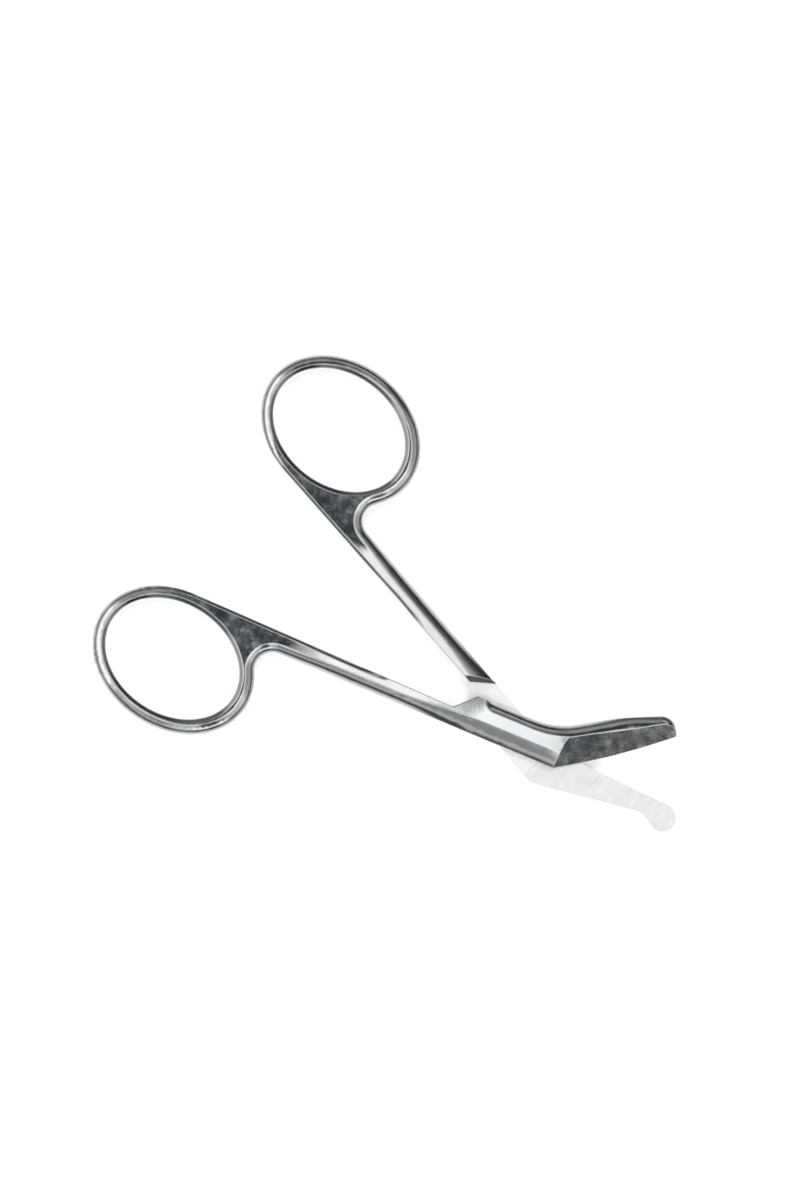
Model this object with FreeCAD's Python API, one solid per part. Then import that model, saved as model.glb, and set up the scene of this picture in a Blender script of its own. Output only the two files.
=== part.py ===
import FreeCAD, Part
import math
import os

# Angled ostomy scissors of the small surgical pattern, about 115 mm long when closed.
# The real tool is three pieces of stainless steel: two forged halves, each with its finger ring,
# web, shank, joint boss and blade in one piece, and the slotted screw that holds them together.
#
# Each half is built lying along +X in a frame of its own: the pivot is at the origin, the blade
# points to +X, the side that faces the other handle is +Y, and the joint's mating plane is z = 0.
# Its boss and blade stand on +Z. The front half is then turned to its place, and the back half
# is flipped over about X first, so that the two bosses lap face to face.
#
# In the finished frame the pivot axis is +Z through the origin, the table is z = 0, +X runs from
# the pivot to the tips midway between the two halves, and the tool lies open as it was laid down.

# How the tool lies open, in degrees, and how high its joint's mating plane lies over the table.
rest_half_opening = 13.5
lap_height = 2.087

# Finger rings. The bar is as wide as given at the far end, at the neck, on the side of the other
# handle and on the side away from it.
ring_hole_length = 27.4
ring_hole_width = 20.9
ring_end_bar = 2.9
ring_neck_bar = 3.5
ring_inner_bar = 2.8
ring_outer_bar = 3.05
ring_reach = 66.2
ring_drop = 12.45
ring_lean = 11.5
ring_half_thickness = 1.5

# Shank and web.
half_width = 3.7
shank_inner_clearance = 0.05
shank_half_thickness = 1.85
shank_tilt = 12.0
neck_radius = 3.4
crown_start = -50.0
crown_full = -34.0

# Joint boss and lap. The stock is the blank that both halves are cut from.
stock_half_thickness = 3.0
joint_half_thickness = 2.08
mating_gap = 0.04
boss_rear = 8.4
boss_corner_radius = 0.9
boss_tilt = 4.0
boss_swell_start = -24.0
boss_swell_full = -4.0
shoulder_angle = 45.0
shoulder_gap = 0.2
shoulder_slope_run = 1.1

# Both blades.
blade_taper_start = 7.5
blade_taper_ease = 4.0
blade_taper_rate = 0.05
edge_land = 0.12
bevel_angle = 17.5
relief_start = 8.2
relief_depth = 0.06

# Corners are (x, y, radius); a heel is (x, radius), and a bend is (x, radius) on the inner edge.
# A grind is the outline inside which the wheel cuts the bevel.

# Front blade: blunt, and bent towards the back half's handle.
front_bend = (7.6, 16.0)
front_belly = (19.0, 10.55, 40.0)
front_tip_back = (29.2, 15.3, 3.0)
front_tip_edge = (30.35, 11.2, 0.5)
front_edge_belly = (20.4, 2.8, 130.0)
front_heel = (10.4, 0.6)
front_grind = ((10.2, -8.0, 0), (10.75, 3.4, 4.0), (34.0, 19.0, 0), (34.0, -8.0, 0))

# Back blade: bent the same way when the tool is closed, ending in a flattened button probe.
back_heel = (8.2, 0.5)
back_bend = (10.3, 5.0)
back_neck = (28.9, -9.2, 3.0)
back_grind = ((7.5, -20.0, 0), (7.5, -9.0, 0), (9.0, 3.4, 2.7), (29.5, -9.6, 1.5), (28.2, -20.0, 0))
probe_centre = (32.2, -11.45)
probe_radius = 2.65
probe_height = 1.7
probe_swell_start = 27.0

# Pivot screw.
screw_thread_radius = 1.25
screw_body_radius = 1.5
screw_clearance = 0.04
screw_head_radius = 2.2
screw_head_rim = 1.66
screw_head_top = 1.92
screw_seat_start = 0.8
screw_slot_width = 0.6
screw_slot_depth = 0.5
screw_slot_turn = 35.0
screw_hole_depth = 1.5
screw_thread_length = 1.4
screw_point_chamfer = 0.2

# Edges. The hole's edge has two bevels, through these (distance from the hole, height) points.
# A roll is (width, height above the mating plane that it ends at, slope at its crest, share of
# its width that the steep outer part takes).
hole_section = ((1.1, ring_half_thickness), (0.28, 1.03), (0.0, 0.25))
ring_roll = (1.8, 0.5, 0.12, 0.35)
shank_roll = (2.1, 0.55, 0.2, 0.35)
heel_roll = (3.3, 0.8, 0.2, 0.35)
inner_edge_roll = (0.6, 1.1, 0.25, 0.35)
fade_roll = (0.3, 2.15, 0.25, 0.35)
boss_inner_roll = (1.9, 0.8, 0.2, 0.35)
spine_roll = (2.3, 0.5, 0.15, 0.35)
tip_roll = (1.7, 0.35, 0.2, 0.35)
tip_end_roll = (1.2, 0.3, 0.3, 0.35)
neck_roll = (1.5, 0.4, 0.2, 0.35)
probe_roll = (2.0, 0.55, 0.12, 0.35)

# How far tools reach past the metal they cut, and how closely the rolled edges are followed.
beyond = 6.0
past_crest = 0.35
past_flank = 0.15
heel_overrun = 1.3
edge_overrun = 1.0
ring_fade_share = 0.16
edge_fade_share = 0.4
boss_fade_share = 0.7
line_step = 12.0
turn_step = 20.0
tangent_share = 0.002
hole_stations = 20
crown_step = 4.5
crown_end = 40.0
crown_reach = 22.0

V = FreeCAD.Vector
UP = V(0, 0, 1)
PIVOT = V(0, 0, 0)
RING_HOLE = (0, 0, 0, 0)
RING_BARS = (ring_end_bar, ring_neck_bar, ring_inner_bar, ring_outer_bar)


def ramp(value, low, high):
    """0 before low, 1 after high, and a smooth rise between."""
    share = min(1.0, max(0.0, (value - low) / (high - low)))
    return share * share * (3 - 2 * share)


def blend(start, end, share):
    """The value that far from start to end."""
    return start + (end - start) * share


def rounded_chain(corners):
    """Lines through (x, y, radius) corners, joined by tangent arcs; both end points stay."""
    points = [V(x, y, 0) for x, y, radius in corners]
    edges = []
    last = points[0]
    for i in range(1, len(points) - 1):
        radius = corners[i][2]
        if radius == 0:
            edges.append(Part.LineSegment(last, points[i]).toShape())
            last = points[i]
            continue
        before = (points[i - 1] - points[i]).normalize()
        after = (points[i + 1] - points[i]).normalize()
        half = before.getAngle(after) / 2
        reach = radius / math.tan(half)
        middle = (before + after).normalize() * (radius / math.sin(half) - radius)
        start = points[i] + before * reach
        end = points[i] + after * reach
        edges.append(Part.LineSegment(last, start).toShape())
        edges.append(Part.Arc(start, points[i] + middle, end).toShape())
        last = end
    edges.append(Part.LineSegment(last, points[-1]).toShape())
    return edges


def ring_ellipse(bars):
    """Centre and half sizes of the hole's outline grown by the bars at end, neck, inner, outer."""
    end, neck, inner, outer = bars
    lean = FreeCAD.Rotation(UP, -ring_lean)
    shift = lean.multVec(V((neck - end) / 2, (inner - outer) / 2, 0))
    long = ring_hole_length / 2 + (end + neck) / 2
    short = ring_hole_width / 2 + (inner + outer) / 2
    return V(-ring_reach, -ring_drop, 0) + shift, long, short


def ring_point(bars, turn):
    """A point of that outline, and the outward direction there."""
    centre, long, short = ring_ellipse(bars)
    local = V(long * math.cos(turn), short * math.sin(turn), 0)
    outward = V(short * math.cos(turn), long * math.sin(turn), 0).normalize()
    lean = FreeCAD.Rotation(UP, -ring_lean)
    return centre + lean.multVec(local), lean.multVec(outward)


def ring_arc(bars, start, end):
    """The part of that outline between two turns, counter-clockwise."""
    centre, long, short = ring_ellipse(bars)
    ends = (ring_point(bars, 0)[0], ring_point(bars, math.pi / 2)[0])
    return Part.ArcOfEllipse(Part.Ellipse(*ends, centre), start, end).toShape()


def solve(function, low, high):
    """Where the function crosses zero between low and high."""
    rising = function(high) > 0
    for step in range(60):
        middle = (low + high) / 2
        if (function(middle) > 0) == rising:
            high = middle
        else:
            low = middle
    return (low + high) / 2


def boss_rear_corner():
    """The corner where the boss's slanted rear edge meets the shank's inner edge."""
    rise = half_width + shank_inner_clearance
    return -boss_rear - rise / math.tan(math.radians(shoulder_angle))


def handle_edges():
    """Outline edges from the boss's rear corner, round the ring, to the neck of the shank."""
    corner = V(boss_rear_corner(), -shank_inner_clearance, 0)

    def off_tangent(turn):
        point, outward = ring_point(RING_BARS, turn)
        return outward.dot(corner - point)

    def off_neck(turn):
        point, outward = ring_point(RING_BARS, turn)
        return (point + outward * neck_radius).y + half_width + neck_radius

    leave = solve(off_tangent, math.radians(40), math.radians(150))
    arrive = solve(off_neck, math.radians(-60), math.radians(60))
    tangent = ring_point(RING_BARS, leave)[0]
    point, outward = ring_point(RING_BARS, arrive)
    centre = point + outward * neck_radius
    end = V(centre.x, -half_width, 0)
    middle = centre + ((point - centre) + (end - centre)).normalize() * neck_radius
    around = ring_arc(RING_BARS, leave, arrive + 2 * math.pi)
    return tangent, around, Part.Arc(point, middle, end).toShape(), end


def boss_corners():
    """The two corners of the boss's slanted rear edge."""
    return [
        (-boss_rear, half_width, boss_corner_radius),
        (boss_rear_corner(), -shank_inner_clearance, boss_corner_radius),
    ]


def probe_points():
    """Where the probe's round end leaves the cutting edge, its far point, and its return."""
    centre = V(probe_centre[0], probe_centre[1], 0)
    heel = V(back_heel[0], -half_width, 0)
    neck = V(back_neck[0], back_neck[1], 0)

    def touch(point, side):
        away = centre - point
        swing = math.degrees(math.asin(probe_radius / away.Length))
        along = FreeCAD.Rotation(UP, side * swing).multVec(away)
        return point + along.normalize() * math.sqrt(away.Length**2 - probe_radius**2)

    first = touch(heel, -1)
    last = touch(neck, 1)
    far = centre + (centre - (first + last) / 2).normalize() * probe_radius
    return first, far, last


def section_poles(point, inward, roll, crown):
    """Three poles of the curve that rolls the top face over, from past the crest to the flank."""
    width, flank, slope, steep_share = roll
    crest_point = point + inward * width
    crest = crown(crest_point.x, crest_point.y)
    bend = V(width * steep_share, 0, crest - width * (1 - steep_share) * slope)
    steep = (bend.z - flank) / bend.x
    flat = [
        (width + past_crest, crest + past_crest * slope),
        (bend.x, bend.z),
        (-past_flank, flank - past_flank * steep),
    ]
    return [point + inward * n + UP * z for n, z in flat]


def skin(rows, places, rates=None, periodic=False):
    """A smooth surface through rows of poles; across a row it has those poles themselves."""
    curves = []
    for i, column in enumerate(zip(*rows)):
        curve = Part.BSplineCurve()
        tangents = {}
        if rates:
            tangents = {
                "Tangents": [rate[i] for rate in rates],
                "TangentFlags": [True] * len(rates),
                "Scale": False,
            }
        curve.interpolate(
            Points=list(column), PeriodicFlag=periodic, Parameters=places, **tangents
        )
        curves.append(curve)
    poles = [list(row) for row in zip(*[curve.getPoles() for curve in curves])]
    first = curves[0]
    across = len(rows[0])
    surface = Part.BSplineSurface()
    surface.buildFromPolesMultsKnots(
        poles, first.getMultiplicities(), [across, across], first.getKnots(), [0.0, 1.0],
        periodic, False, first.Degree, across - 1,
    )
    return surface


def above(surface):
    """The solid of everything above a surface."""
    solid = surface.toShape().extrude(UP * beyond)
    if solid.Volume < 0:
        solid.reverse()
    return solid


def station(piece, share):
    """Point, inward direction and blended roll at a share of the way along a path piece."""
    edge, first, last, start, end = piece
    parameter = edge.getParameterByLength(edge.Length * blend(first, last, share))
    along = edge.tangentAt(parameter)
    roll = [blend(a, b, ramp(share, 0, 1)) for a, b in zip(start, end)]
    return edge.valueAt(parameter), V(-along.y, along.x, 0), roll


def shares_along(piece):
    """Where the sections of a path piece lie, as shares of its length."""
    edge, first, last, start, end = piece
    directions = [station(piece, i / 12)[1] for i in range(13)]
    turn = sum(math.degrees(a.getAngle(b)) for a, b in zip(directions, directions[1:]))
    length = edge.Length * (last - first)
    count = max(1, math.ceil(length / line_step), math.ceil(turn / turn_step))
    if start != end:
        count = max(count, 4)
    return [i / count for i in range(count + 1)]


def roll_tool(pieces, crown):
    """The tool that rolls the top edge over along a path given piece by piece."""
    rows = []
    rates = []
    places = []
    reached = 0.0
    for piece in pieces:
        edge, first, last, start, end = piece
        length = edge.Length * (last - first)
        for share in shares_along(piece)[1 if rows else 0:]:
            low = max(0.0, share - tangent_share)
            high = min(1.0, share + tangent_share)
            before = section_poles(*station(piece, low), crown)
            after = section_poles(*station(piece, high), crown)
            rates.append([(b - a) / ((high - low) * length) for a, b in zip(before, after)])
            rows.append(section_poles(*station(piece, share), crown))
            places.append(reached + share * length)
        reached += length
    return above(skin(rows, places, rates))


def crest_line(x):
    """Where the crest runs across shank and boss, at a distance along the half."""
    shank = -half_width + blend(ring_roll[0], shank_roll[0], ramp(x, crown_start, crown_full))
    boss = -half_width + heel_roll[0]
    return blend(shank, boss, ramp(x, boss_swell_start, boss_swell_full))


def crown_height(x, y, probe):
    """Height of the top face above the mating plane."""
    shank = blend(ring_half_thickness, shank_half_thickness, ramp(x, crown_start, crown_full))
    height = blend(shank, joint_half_thickness, ramp(x, boss_swell_start, boss_swell_full))
    past = x - blade_taper_start
    if past > blade_taper_ease:
        height -= blade_taper_rate * (past - blade_taper_ease / 2)
    elif past > 0:
        height -= blade_taper_rate * past * past / (2 * blade_taper_ease)
    bulge = ramp(x, probe_swell_start, probe_centre[0])
    height = blend(height, probe_height, probe * bulge)
    tilt = blend(0, shank_tilt, ramp(x, crown_start, crown_full))
    tilt = blend(tilt, boss_tilt, ramp(x, boss_swell_start, boss_swell_full))
    tilt = blend(tilt, 0, ramp(x, blade_taper_start, blade_taper_start + 2 * blade_taper_ease))
    return height - (y - crest_line(x)) * math.tan(math.radians(tilt))


def crown_tools(crown):
    """The tools that cut the top face: flat over ring and web, crowned over shank and boss."""
    count = round((crown_end - crown_start) / crown_step)
    places = [crown_start + crown_step * i for i in range(count + 1)]
    rows = [[V(x, y, crown(x, y)) for y in (-crown_reach, crown_reach)] for x in places]
    size = 2 * ring_hole_length
    corner = V(crown_start - size, -size, ring_half_thickness)
    flat = Part.makeBox(size, 2 * size, beyond, corner)
    return [flat, above(skin(rows, places))]


def plate(edges, low, high):
    """The solid that a closed run of edges sweeps from one height to another."""
    solid = Part.Face(Part.Wire(edges)).extrude(UP * (high - low))
    solid.translate(UP * low)
    return solid


def bevel_tool(edges, region):
    """The tool that grinds the bevel of a blade, inside a plan region."""
    rise = math.tan(math.radians(bevel_angle))
    base = mating_gap / 2 + relief_depth + edge_land
    ends = (edges[0].valueAt(edges[0].FirstParameter), edges[-1].valueAt(edges[-1].LastParameter))
    ahead = edges[0].tangentAt(edges[0].FirstParameter) * beyond
    behind = edges[-1].tangentAt(edges[-1].LastParameter) * beyond
    run = [Part.LineSegment(ends[0] - ahead, ends[0]).toShape()] + edges
    run.append(Part.LineSegment(ends[1], ends[1] + behind).toShape())
    rows = []
    places = []
    reached = 0.0
    for edge in run:
        piece = (edge, 0, 1, (0,), (0,))
        for share in shares_along(piece)[1 if rows else 0:]:
            point, inward, roll = station(piece, share)
            reach = (-edge_overrun, 2 * half_width)
            rows.append([point + inward * n + UP * (base + n * rise) for n in reach])
            places.append(reached + share * edge.Length)
        reached += edge.Length
    return above(skin(rows, places)).common(plate(region, -beyond, beyond))


def lap_tool():
    """The tool that halves the forging under the boss, up to the slanted shoulder."""
    turn = math.radians(shoulder_angle)
    across = V(math.sin(turn), math.cos(turn), 0)
    along = V(math.cos(turn), -math.sin(turn), 0)
    corner = V(boss_rear_corner(), shank_inner_clearance, 0) - across * shoulder_gap
    run = shoulder_slope_run * beyond / shank_half_thickness
    far = 2 * ring_reach
    flat = [(0, mating_gap / 2), (far, mating_gap / 2), (far, -beyond), (-run, -beyond)]
    points = [corner - along * far / 2 + across * d + UP * z for d, z in flat]
    face = Part.Face(Part.makePolygon(points + points[:1]))
    return face.extrude(along * far)


def relief_tool():
    """The tool that relieves the blade's inner face."""
    depth = relief_depth + mating_gap / 2
    size = 2 * crown_end
    return Part.makeBox(size, size, beyond + depth, V(relief_start, -size / 2, -beyond))


def hole_bevel_tool(high, low):
    """The tool that bevels the top edge into the finger hole, through two section points."""
    rise = (high[1] - low[1]) / (high[0] - low[0])
    rows = []
    for i in range(hole_stations):
        point, outward = ring_point(RING_HOLE, 2 * math.pi * i / hole_stations)
        reach = (high[0] + past_crest, -past_flank)
        rows.append([point + outward * n + UP * (low[1] + (n - low[0]) * rise) for n in reach])
    return above(skin(rows, list(range(hole_stations + 1)), periodic=True))


def handle_roll(handle, lead_in, heel):
    """Path pieces of the roll from the boss's rear, round the ring, to the heel of the blade."""
    tangent, around, neck, end = handle
    reach = heel + heel_overrun - end.x
    outer = Part.LineSegment(end, V(end.x + reach, -half_width, 0)).toShape()
    full = (crown_full - end.x) / reach
    swell_start = (boss_swell_start - end.x) / reach
    swell_full = (boss_swell_full - end.x) / reach
    return [
        (lead_in, 0, edge_fade_share, fade_roll, inner_edge_roll),
        (lead_in, edge_fade_share, 1, inner_edge_roll, inner_edge_roll),
        (around, 0, ring_fade_share, inner_edge_roll, ring_roll),
        (around, ring_fade_share, 1, ring_roll, ring_roll),
        (neck, 0, 1, ring_roll, ring_roll),
        (outer, 0, full, ring_roll, shank_roll),
        (outer, full, swell_start, shank_roll, shank_roll),
        (outer, swell_start, swell_full, shank_roll, heel_roll),
        (outer, swell_full, 1, heel_roll, heel_roll),
    ]


def half(handle, outline, blade_path, grind, heel, probe):
    """One forged half in its own frame, before its screw hole; probe is 1 for a probe tip."""
    tangent, around, neck, end = handle
    lead, cutting, rest = outline

    def crown(x, y):
        return crown_height(x, y, probe)

    both_faces = crown_tools(crown)
    both_faces.append(roll_tool(handle_roll(handle, rest[-1], heel), crown))
    both_faces += [hole_bevel_tool(*pair) for pair in zip(hole_section, hole_section[1:])]
    tools = both_faces + [tool.mirror(PIVOT, UP) for tool in both_faces]
    tools.insert(len(both_faces), roll_tool(blade_path, crown))
    tools += [lap_tool(), relief_tool(), bevel_tool(cutting, grind)]
    solid = plate(lead + cutting + rest + [around, neck], -stock_half_thickness, stock_half_thickness)
    solid = solid.cut(plate([ring_arc(RING_HOLE, 0, 2 * math.pi)], -beyond, beyond))
    for tool in tools:
        solid = solid.cut(tool)
    return solid


def front_half():
    """The front half: blunt angled blade, and the blind hole that the screw threads into."""
    handle = handle_edges()
    tangent, around, neck, end = handle
    edges = rounded_chain([
        (end.x, end.y, 0),
        (front_heel[0], -half_width, front_heel[1]),
        front_edge_belly,
        front_tip_edge,
        front_tip_back,
        front_belly,
        (front_bend[0], half_width, front_bend[1]),
        *boss_corners(),
        (tangent.x, tangent.y, 0),
    ])
    outline = (edges[:2], edges[2:5], edges[5:])
    tip_face, tip, after_tip, belly, before_bend, bend, boss_side = edges[6:13]
    start = tip_face.valueAt(tip_face.FirstParameter)
    entry = Part.LineSegment(start - tip_face.tangentAt(0), start).toShape()
    path = [
        (entry, 0, 1, tip_end_roll, tip_end_roll),
        (tip_face, 0, 1, tip_end_roll, tip_end_roll),
        (tip, 0, 1, tip_end_roll, tip_roll),
        (after_tip, 0, 1, tip_roll, spine_roll),
        (belly, 0, 1, spine_roll, spine_roll),
        (before_bend, 0, 1, spine_roll, spine_roll),
        (bend, 0, 1, spine_roll, boss_inner_roll),
        (boss_side, 0, boss_fade_share, boss_inner_roll, boss_inner_roll),
        (boss_side, boss_fade_share, 1, boss_inner_roll, fade_roll),
    ]
    grind = rounded_chain([*front_grind, front_grind[0]])
    solid = half(handle, outline, path, grind, front_heel[0], 0)
    hole = Part.makeCylinder(screw_thread_radius, beyond + screw_hole_depth, V(0, 0, -beyond))
    return solid.cut(hole)


def back_half():
    """The back half: angled blade with a probe tip, and the seat of the screw's head."""
    handle = handle_edges()
    tangent, around, neck, end = handle
    first, far, last = probe_points()
    lead = rounded_chain([
        (end.x, end.y, 0),
        (back_heel[0], -half_width, back_heel[1]),
        (first.x, first.y, 0),
    ])
    rest = rounded_chain([
        (last.x, last.y, 0),
        back_neck,
        (back_bend[0], half_width, back_bend[1]),
        *boss_corners(),
        (tangent.x, tangent.y, 0),
    ])
    probe = Part.Arc(first, far, last).toShape()
    outline = (lead[:2], lead[2:], [probe] + rest)
    after_probe, nape, before_bend, bend, boss_side = rest[:5]
    cutting = lead[2]
    entry = Part.LineSegment(first - cutting.tangentAt(0), first).toShape()
    path = [
        (entry, 0, 1, probe_roll, probe_roll),
        (probe, 0, 1, probe_roll, probe_roll),
        (after_probe, 0, 1, probe_roll, neck_roll),
        (nape, 0, 1, neck_roll, neck_roll),
        (before_bend, 0, 1, neck_roll, spine_roll),
        (bend, 0, 1, spine_roll, boss_inner_roll),
        (boss_side, 0, boss_fade_share, boss_inner_roll, boss_inner_roll),
        (boss_side, boss_fade_share, 1, boss_inner_roll, fade_roll),
    ]
    grind = rounded_chain([*back_grind, back_grind[0]])
    return half(handle, outline, path, grind, back_heel[0], 1).cut(screw_seat())


def turned(points):
    """The solid of revolution about the pivot of a closed (radius, height) profile."""
    outline = [V(r, 0, z) for r, z in points]
    face = Part.Face(Part.makePolygon(outline + outline[:1]))
    return face.revolve(PIVOT, UP, 360)


def screw_seat():
    """The tool that bores the back half for the screw's body and sinks its head."""
    bore = screw_body_radius + screw_clearance
    sink = screw_head_radius + screw_clearance
    return turned([
        (0, -beyond),
        (bore, -beyond),
        (bore, screw_seat_start),
        (sink, screw_seat_start + sink - bore),
        (sink, beyond),
        (0, beyond),
    ])


def pivot_screw():
    """The screw, in the back half's own frame: its head up, its thread down."""
    face = -mating_gap / 2
    cone_start = screw_seat_start + screw_clearance
    cone_end = cone_start + screw_head_radius - screw_body_radius
    body = turned([
        (0, -screw_thread_length),
        (screw_thread_radius - screw_point_chamfer, -screw_thread_length),
        (screw_thread_radius, -screw_thread_length + screw_point_chamfer),
        (screw_thread_radius, face),
        (screw_body_radius, face),
        (screw_body_radius, cone_start),
        (screw_head_radius, cone_end),
        (screw_head_radius, screw_head_rim),
        (0, screw_head_rim),
    ])
    rise = screw_head_top - screw_head_rim
    ball = (screw_head_radius**2 + rise**2) / (2 * rise)
    dome = Part.makeSphere(ball, V(0, 0, screw_head_top - ball))
    dome = dome.common(Part.makeCylinder(screw_head_radius, beyond, V(0, 0, screw_head_rim)))
    corner = V(-beyond, -screw_slot_width / 2, screw_head_top - screw_slot_depth)
    slot = Part.makeBox(2 * beyond, screw_slot_width, beyond, corner)
    slot.rotate(PIVOT, UP, screw_slot_turn)
    return body.fuse(dome).cut(slot).removeSplitter()


def placed(shape, flipped):
    """A half's or the screw's shape, moved to where the tool lies open on the table."""
    shape = shape.copy()
    turn = rest_half_opening
    if flipped:
        shape.rotate(PIVOT, V(1, 0, 0), 180)
        turn = -rest_half_opening
    shape.rotate(PIVOT, UP, turn)
    shape.translate(UP * lap_height)
    return shape


os.makedirs("parts", exist_ok=True)
placed(front_half(), False).exportStep("parts/front_half.step")
placed(back_half(), True).exportStep("parts/back_half.step")
placed(pivot_screw(), True).exportStep("parts/pivot_screw.step")
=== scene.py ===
"""Looks of the ostomy scissors: polished forged steel with ground inner faces, on a white table."""

import math

import bpy
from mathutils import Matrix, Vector

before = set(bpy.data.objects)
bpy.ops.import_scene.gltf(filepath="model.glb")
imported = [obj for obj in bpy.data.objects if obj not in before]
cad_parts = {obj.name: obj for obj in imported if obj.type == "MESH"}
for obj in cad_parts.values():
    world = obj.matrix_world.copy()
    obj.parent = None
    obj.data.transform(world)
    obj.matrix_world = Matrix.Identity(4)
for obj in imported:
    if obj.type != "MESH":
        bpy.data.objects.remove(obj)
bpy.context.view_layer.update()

MM = 0.001

# Camera: the photograph looks straight down, with the part's +X axis turned below image right.
# A pixel covers PIXEL at SCALE_LEVEL over the table, and the camera is CAMERA_HEIGHT above that.
AXIS_BELOW_RIGHT = math.radians(36.1)
PIXEL = 0.195 * MM
IMAGE_SIZE = (800, 1200)
PIVOT_PIXEL = (510.6, 730.0)
SCALE_LEVEL = 2 * MM
CAMERA_HEIGHT = 1.2
CLIP_END = 10
FILM_HEIGHT = 24.0

# Heights over the table, in millimetres, of the flat faces: the halves' inner faces where they
# slide on each other at the joint and where they are relieved, and both sides of the webs.
BACK_JOINT, BACK_RELIEF = 2.067, 2.007
FRONT_JOINT, FRONT_RELIEF = 2.107, 2.167
WEB_TOP, WEB_BOTTOM = 3.587, 0.587
HEIGHT_TOLERANCE = 0.02
FLAT_NORMAL = 0.9995
# Normals of the front blade's ground bevel and of the back half's slanted shoulder. The normal of
# the front half's shoulder has the opposite Y and Z.
BEVEL_NORMAL = Vector((0.235, -0.185, 0.954))
SHOULDER_NORMAL = Vector((0.45, -0.73, 0.51))
NORMAL_TOLERANCE = 0.06

# The studio that the steel mirrors, by angle from straight up in degrees. A light is a list of
# (angle, brightness), and the room a list of (angle, colour).
HORIZON = 90
RING_LIGHT = ((0, 0), (3.5, 0), (6.5, 1.2), (22.5, 1.15), (26, 0.5), (29.5, 0.12), (33, 0))
SIDE_LIGHT = ((22, 0), (26, 0.45), (30, 0.95), (35, 0.6), (42, 0.15), (50, 0))
GREY_CARD = ((36, 0), (42, 1), (52, 1), (57, 0.4), (63, 0.28), (69, 0.05), (74, 0))
LOW_CARD = ((42, 0), (46, 1), (53, 1), (56, 0))
ROOM = ((0, (0.034, 0.043, 0.048)), (12, (0.04, 0.048, 0.053)), (38, (0.03, 0.034, 0.037)),
        (66, (0.022, 0.025, 0.027)), (76, (0.5, 0.5, 0.5)), (85, (0.85, 0.85, 0.85)),
        (90, (0.95, 0.95, 0.95)))
# The strength of each light round the table, by direction in degrees anticlockwise from image
# right.
HALF_TURN = 180
RING_ROUND = ((-180, 0.9), (-140, 0.84), (-122, 1), (-34, 1), (0, 0.6), (30, 0.78), (52, 0.85),
              (62, 1), (75, 1), (84, 0.3), (108, 0.2), (124, 0.45), (136, 0.9), (180, 0.9))
SIDE_ROUND = ((-180, 1), (-126, 1), (-117, 0.44), (-108, 0.44), (-100, 0.9), (-89, 0.9),
              (-83, 0.1), (-69, 0.1), (-63, 0.9), (-30, 1), (-10, 0.45), (20, 0.4), (45, 0.6),
              (60, 0.4), (72, 0.3), (82, 0), (120, 0), (134, 0.9), (180, 1))
CARD_ROUND = ((-180, 1.1), (-150, 1.1), (-143, 0.4), (-134, 0.3), (-122, 0.14), (-112, 0.14),
              (-100, 0.4), (-90, 0.4), (-84, 0), (-66, 0), (-54, 0.4), (-30, 0.6), (-18, 0.35),
              (16, 0.3), (36, 0.03), (54, 0.05), (76, 0.05), (90, 0.3), (112, 0.27), (126, 0.3),
              (140, 1.1), (180, 1.1))
LOW_ROUND = ((-180, 0), (-136, 0), (-122, 0.26), (-96, 0.26), (-86, 1), (-62, 1), (-54, 0),
             (46, 0), (54, 0.3), (76, 0.3), (84, 0), (180, 0))
LIGHTS = ((RING_LIGHT, RING_ROUND), (SIDE_LIGHT, SIDE_ROUND), (GREY_CARD, CARD_ROUND),
          (LOW_CARD, LOW_ROUND))

# Lamps that light the table and the ground faces: name, place, size, power in watts.
LAMPS = (("key", (-0.5, 0.9, 1.1), 1.0, 15.0), ("fill", (0.7, -0.8, 1.2), 1.2, 9.0))
# The table's width, its grey, and how much it glows to the camera and in the steel.
FLOOR_SIZE = 3.0
FLOOR_COLOUR = 0.93
FLOOR_GLOW = 0.25

# Noise in the steel: features a metre, detail and roughness.
CLOUDS = (420, 4.0, 0.55)
SPECKS = (2600, 3.0, 0.65)
STREAKS = (2500, 3.0, 0.6)
NOISE_RANGE = (0.36, 0.64)
BEVEL_SAMPLES = 6

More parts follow.
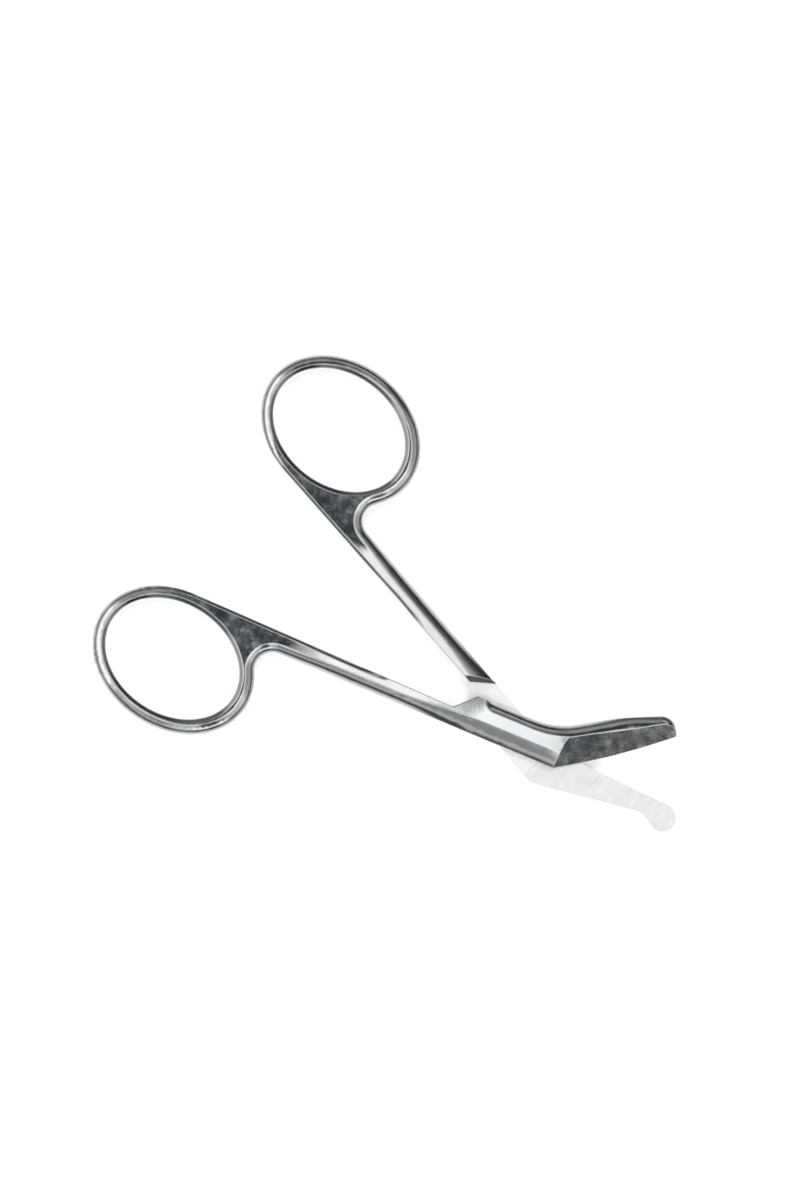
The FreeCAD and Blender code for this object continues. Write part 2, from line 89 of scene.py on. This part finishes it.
# The steels. Waves and grain are depths and edge is a radius, in millimetres. Speckle is the share
# of the fine noise in the tone. Streaks are drawn out so many times, at an angle in degrees.
STEELS = {
    "polished_steel": dict(
        metallic=1.0, colours=((0.75, 0.77, 0.78), (0.8, 0.81, 0.82)), roughness=(0.05, 0.09),
        waves=0.008, grain=0.0005, edge=0.4, speckle=0.3,
    ),
    "web_steel": dict(
        metallic=1.0, colours=((0.72, 0.76, 0.77), (0.8, 0.82, 0.82)), roughness=(0.05, 0.15),
        waves=0.02, grain=0.001, edge=0.2, speckle=0.3,
    ),
    "bevel_steel": dict(
        metallic=1.0, colours=((0.66, 0.69, 0.71), (0.8, 0.81, 0.82)), roughness=(0.06, 0.2),
        waves=0.03, grain=0.003, edge=0.12, speckle=0.35,
    ),
    "ground_steel": dict(
        metallic=0.4, colours=((0.74, 0.74, 0.73), (0.88, 0.88, 0.87)), roughness=(0.4, 0.5),
        waves=0.0, grain=0.001, edge=0.15, speckle=0.6, streaks=(12, 86),
    ),
    "joint_steel": dict(
        metallic=0.4, colours=((0.82, 0.83, 0.82), (0.94, 0.95, 0.94)), roughness=(0.38, 0.48),
        waves=0.0, grain=0.001, edge=0.15, speckle=0.6, streaks=(10, 60),
    ),
    # Painted shade: the slanted shoulder's steel is near black, standing for the shade on its wall
    # in the notch between the halves.
    "shoulder_painted_shade": dict(
        metallic=1.0, colours=((0.06, 0.07, 0.074), (0.13, 0.145, 0.15)), roughness=(0.25, 0.35),
        waves=0.01, grain=0.001, edge=0.04, speckle=0.4,
    ),
    "screw_steel": dict(
        metallic=1.0, colours=((0.74, 0.75, 0.76), (0.8, 0.81, 0.82)), roughness=(0.16, 0.24),
        waves=0.0, grain=0.001, edge=0.05, speckle=0.4,
    ),
}
HALF_STEELS = ("polished_steel", "web_steel", "bevel_steel", "ground_steel", "joint_steel",
               "shoulder_painted_shade")

# A Mix node's two inputs and its output, for each kind of value.
MIX_SOCKETS = {"RGBA": (6, 7, 2), "FLOAT": (2, 3, 0)}


def wire(tree, source, target):
    """Links a socket, or sets the value where the source is a plain number or colour."""
    if isinstance(source, bpy.types.NodeSocket):
        tree.links.new(source, target)
    else:
        target.default_value = source


def calc(tree, operation, *sources, clamp=False):
    """The output of a Math node."""
    made = tree.nodes.new("ShaderNodeMath")
    made.operation = operation
    made.use_clamp = clamp
    for source, target in zip(sources, made.inputs):
        wire(tree, source, target)
    return made.outputs[0]


def ramp(tree, source, stops, low, high):
    """The colour of a ramp whose stops are given in the source's own unit, from low to high."""
    share = calc(tree, "DIVIDE", calc(tree, "SUBTRACT", source, low), high - low, clamp=True)
    made = tree.nodes.new("ShaderNodeValToRGB")
    wire(tree, share, made.inputs[0])
    elements = made.color_ramp.elements
    while len(elements) > 1:
        elements.remove(elements[-1])
    for i, (place, value) in enumerate(stops):
        colour = value if isinstance(value, tuple) else (value,) * 3
        position = (place - low) / (high - low)
        element = elements[0] if i == 0 else elements.new(position)
        element.position = position
        element.color = (*colour, 1)
    return made.outputs[0]


def mixed(tree, factor, first, second, kind="RGBA", blend="MIX"):
    """The output of a Mix node of two colours or two numbers."""
    made = tree.nodes.new("ShaderNodeMix")
    made.data_type = kind
    made.blend_type = blend
    first_input, second_input, output = MIX_SOCKETS[kind]
    wire(tree, factor, made.inputs[0])
    wire(tree, first, made.inputs[first_input])
    wire(tree, second, made.inputs[second_input])
    return made.outputs[output]


def spread(tree, value, low, high, to_low, to_high):
    """The value's range from low to high, mapped to another range and held inside it."""
    made = tree.nodes.new("ShaderNodeMapRange")
    made.clamp = True
    wire(tree, value, made.inputs["Value"])
    for name, number in zip(("From Min", "From Max", "To Min", "To Max"),
                            (low, high, to_low, to_high)):
        made.inputs[name].default_value = number
    return made.outputs["Result"]


def noise(tree, scale, detail, roughness, stretch=1, turn=0.0):
    """A noise value, drawn out by the stretch and turned in the XY plane."""
    place = tree.nodes.new("ShaderNodeTexCoord").outputs["Object"]
    mapping = tree.nodes.new("ShaderNodeMapping")
    mapping.vector_type = "TEXTURE"
    mapping.inputs["Rotation"].default_value = (0, 0, turn)
    mapping.inputs["Scale"].default_value = (stretch, 1, 1)
    tree.links.new(place, mapping.inputs["Vector"])
    made = tree.nodes.new("ShaderNodeTexNoise")
    made.inputs["Scale"].default_value = scale
    made.inputs["Detail"].default_value = detail
    made.inputs["Roughness"].default_value = roughness
    tree.links.new(mapping.outputs[0], made.inputs["Vector"])
    return made.outputs["Fac"]


def worn_edge(tree, radius):
    """The surface's normal, rounded near its edges."""
    made = tree.nodes.new("ShaderNodeBevel")
    made.samples = BEVEL_SAMPLES
    made.inputs["Radius"].default_value = radius
    return made.outputs["Normal"]


def bumped(tree, normal, height, depth):
    """The normal with a bump whose height runs from 0 to 1 over the depth."""
    made = tree.nodes.new("ShaderNodeBump")
    made.inputs["Strength"].default_value = 1
    made.inputs["Distance"].default_value = depth
    wire(tree, height, made.inputs["Height"])
    wire(tree, normal, made.inputs["Normal"])
    return made.outputs["Normal"]


def metal(name, metallic, colours, roughness, waves, grain, edge, speckle, streaks=None):
    """Steel whose colour and roughness vary, with low waves, fine grain and worn edges."""
    material = bpy.data.materials.new(name)
    material.use_nodes = True
    tree = material.node_tree
    shader = tree.nodes["Principled BSDF"]
    shader.inputs["Metallic"].default_value = metallic
    clouds = noise(tree, *CLOUDS)
    if streaks:
        stretch, angle = streaks
        fine = noise(tree, *STREAKS, stretch, math.radians(angle))
    else:
        fine = noise(tree, *SPECKS)
    tone = mixed(tree, speckle, clouds, fine, "FLOAT")
    share = spread(tree, tone, *NOISE_RANGE, 0, 1)
    wire(tree, mixed(tree, share, (*colours[0], 1), (*colours[1], 1)), shader.inputs["Base Color"])
    wire(tree, spread(tree, tone, *NOISE_RANGE, *roughness), shader.inputs["Roughness"])
    normal = worn_edge(tree, edge * MM)
    normal = bumped(tree, normal, clouds, waves * MM)
    normal = bumped(tree, normal, fine, grain * MM)
    wire(tree, normal, shader.inputs["Normal"])
    return material


def on_flat(face, height, up):
    """Whether a face lies flat at a height in millimetres, facing up for 1 or down for -1."""
    return (face.normal.z * up > FLAT_NORMAL
            and abs(face.center.z / MM - height) < HEIGHT_TOLERANCE)


def steel_of(face, front):
    """The name of the steel on a face of the front or the back half."""
    inner = -1 if front else 1
    if on_flat(face, WEB_TOP, 1) or on_flat(face, WEB_BOTTOM, -1):
        return "web_steel"
    if front and (face.normal - BEVEL_NORMAL).length < NORMAL_TOLERANCE:
        return "bevel_steel"
    if on_flat(face, FRONT_RELIEF if front else BACK_RELIEF, inner):
        return "ground_steel"
    if on_flat(face, FRONT_JOINT if front else BACK_JOINT, inner):
        return "joint_steel"
    # The slanted shoulder gets the near-black steel, which is painted shade.
    if (face.normal - SHOULDER_NORMAL * Vector((1, inner, inner))).length < NORMAL_TOLERANCE:
        return "shoulder_painted_shade"
    return "polished_steel"


def dress():
    """Gives the screw its steel, and each face of the halves the one for its kind."""
    steels = {name: metal(name, **look) for name, look in STEELS.items()}
    for name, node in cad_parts.items():
        mesh = node.data
        mesh.materials.clear()
        if name == "pivot_screw":
            mesh.materials.append(steels["screw_steel"])
            continue
        for steel in HALF_STEELS:
            mesh.materials.append(steels[steel])
        for face in mesh.polygons:
            face.material_index = HALF_STEELS.index(steel_of(face, name == "front_half"))


def studio():
    """The world: plain white to the camera, and the room with its lights to everything else."""
    world = bpy.data.worlds.new("studio")
    world.use_nodes = True
    tree = world.node_tree
    tree.nodes.clear()
    direction = tree.nodes.new("ShaderNodeTexCoord").outputs["Generated"]
    turned = tree.nodes.new("ShaderNodeVectorRotate")
    turned.rotation_type = "Z_AXIS"
    turned.inputs["Angle"].default_value = -AXIS_BELOW_RIGHT
    tree.links.new(direction, turned.inputs["Vector"])
    parts = tree.nodes.new("ShaderNodeSeparateXYZ")
    tree.links.new(turned.outputs[0], parts.inputs[0])
    x, y, z = parts.outputs
    down = calc(tree, "MULTIPLY", calc(tree, "ARCCOSINE", z), math.degrees(1))
    around = calc(tree, "MULTIPLY", calc(tree, "ARCTAN2", y, x), math.degrees(1))
    light = ramp(tree, down, ROOM, 0, HORIZON)
    for by_angle, by_direction in LIGHTS:
        brightness = ramp(tree, down, by_angle, 0, HORIZON)
        strength = ramp(tree, around, by_direction, -HALF_TURN, HALF_TURN)
        light = mixed(tree, 1, light, calc(tree, "MULTIPLY", brightness, strength), blend="ADD")
    lit = tree.nodes.new("ShaderNodeBackground")
    tree.links.new(light, lit.inputs["Color"])
    white = tree.nodes.new("ShaderNodeBackground")
    white.inputs["Color"].default_value = (1, 1, 1, 1)
    path = tree.nodes.new("ShaderNodeLightPath")
    mix = tree.nodes.new("ShaderNodeMixShader")
    tree.links.new(path.outputs["Is Camera Ray"], mix.inputs[0])
    tree.links.new(lit.outputs[0], mix.inputs[1])
    tree.links.new(white.outputs[0], mix.inputs[2])
    out = tree.nodes.new("ShaderNodeOutputWorld")
    tree.links.new(mix.outputs[0], out.inputs["Surface"])
    bpy.context.scene.world = world


def table():
    """A white table that glows a little to the camera and in the steel."""
    bpy.ops.mesh.primitive_plane_add(size=FLOOR_SIZE)
    floor = bpy.context.object
    floor.name = "floor"
    material = bpy.data.materials.new("floor")
    material.use_nodes = True
    tree = material.node_tree
    tree.nodes.clear()
    diffuse = tree.nodes.new("ShaderNodeBsdfDiffuse")
    diffuse.inputs["Color"].default_value = (FLOOR_COLOUR,) * 3 + (1,)
    glow = tree.nodes.new("ShaderNodeEmission")
    path = tree.nodes.new("ShaderNodeLightPath")
    seen = calc(tree, "MAXIMUM", path.outputs["Is Camera Ray"], path.outputs["Is Glossy Ray"])
    tree.links.new(calc(tree, "MULTIPLY", seen, FLOOR_GLOW), glow.inputs["Strength"])
    both = tree.nodes.new("ShaderNodeAddShader")
    tree.links.new(diffuse.outputs[0], both.inputs[0])
    tree.links.new(glow.outputs[0], both.inputs[1])
    out = tree.nodes.new("ShaderNodeOutputMaterial")
    tree.links.new(both.outputs[0], out.inputs["Surface"])
    floor.data.materials.append(material)


def lamps():
    """Two square lamps that point at the pivot and aren't mirrored in the steel."""
    for name, place, size, power in LAMPS:
        data = bpy.data.lights.new(name, "AREA")
        data.size = size
        data.energy = power
        lamp = bpy.data.objects.new(name, data)
        lamp.location = place
        lamp.rotation_euler = (-Vector(place)).to_track_quat("-Z", "Y").to_euler()
        lamp.visible_glossy = False
        bpy.context.scene.collection.objects.link(lamp)


def camera():
    """The photograph's camera, over the middle of the image."""
    data = bpy.data.cameras.new("camera")
    data.sensor_fit = "VERTICAL"
    data.sensor_height = FILM_HEIGHT
    data.lens = FILM_HEIGHT * CAMERA_HEIGHT / (IMAGE_SIZE[1] * PIXEL)
    data.clip_end = CLIP_END
    eye = bpy.data.objects.new("camera", data)
    right = Vector((math.cos(AXIS_BELOW_RIGHT), math.sin(AXIS_BELOW_RIGHT), 0))
    up = Vector((-right.y, right.x, 0))
    centre = PIXEL * (
        right * (IMAGE_SIZE[0] / 2 - PIVOT_PIXEL[0]) + up * (PIVOT_PIXEL[1] - IMAGE_SIZE[1] / 2)
    )
    eye.location = centre + Vector((0, 0, SCALE_LEVEL + CAMERA_HEIGHT))
    eye.rotation_euler = (0, 0, AXIS_BELOW_RIGHT)
    bpy.context.scene.collection.objects.link(eye)
    bpy.context.scene.camera = eye


studio()
dress()
table()
lamps()
camera()
bpy.context.scene.view_settings.view_transform = "Standard"
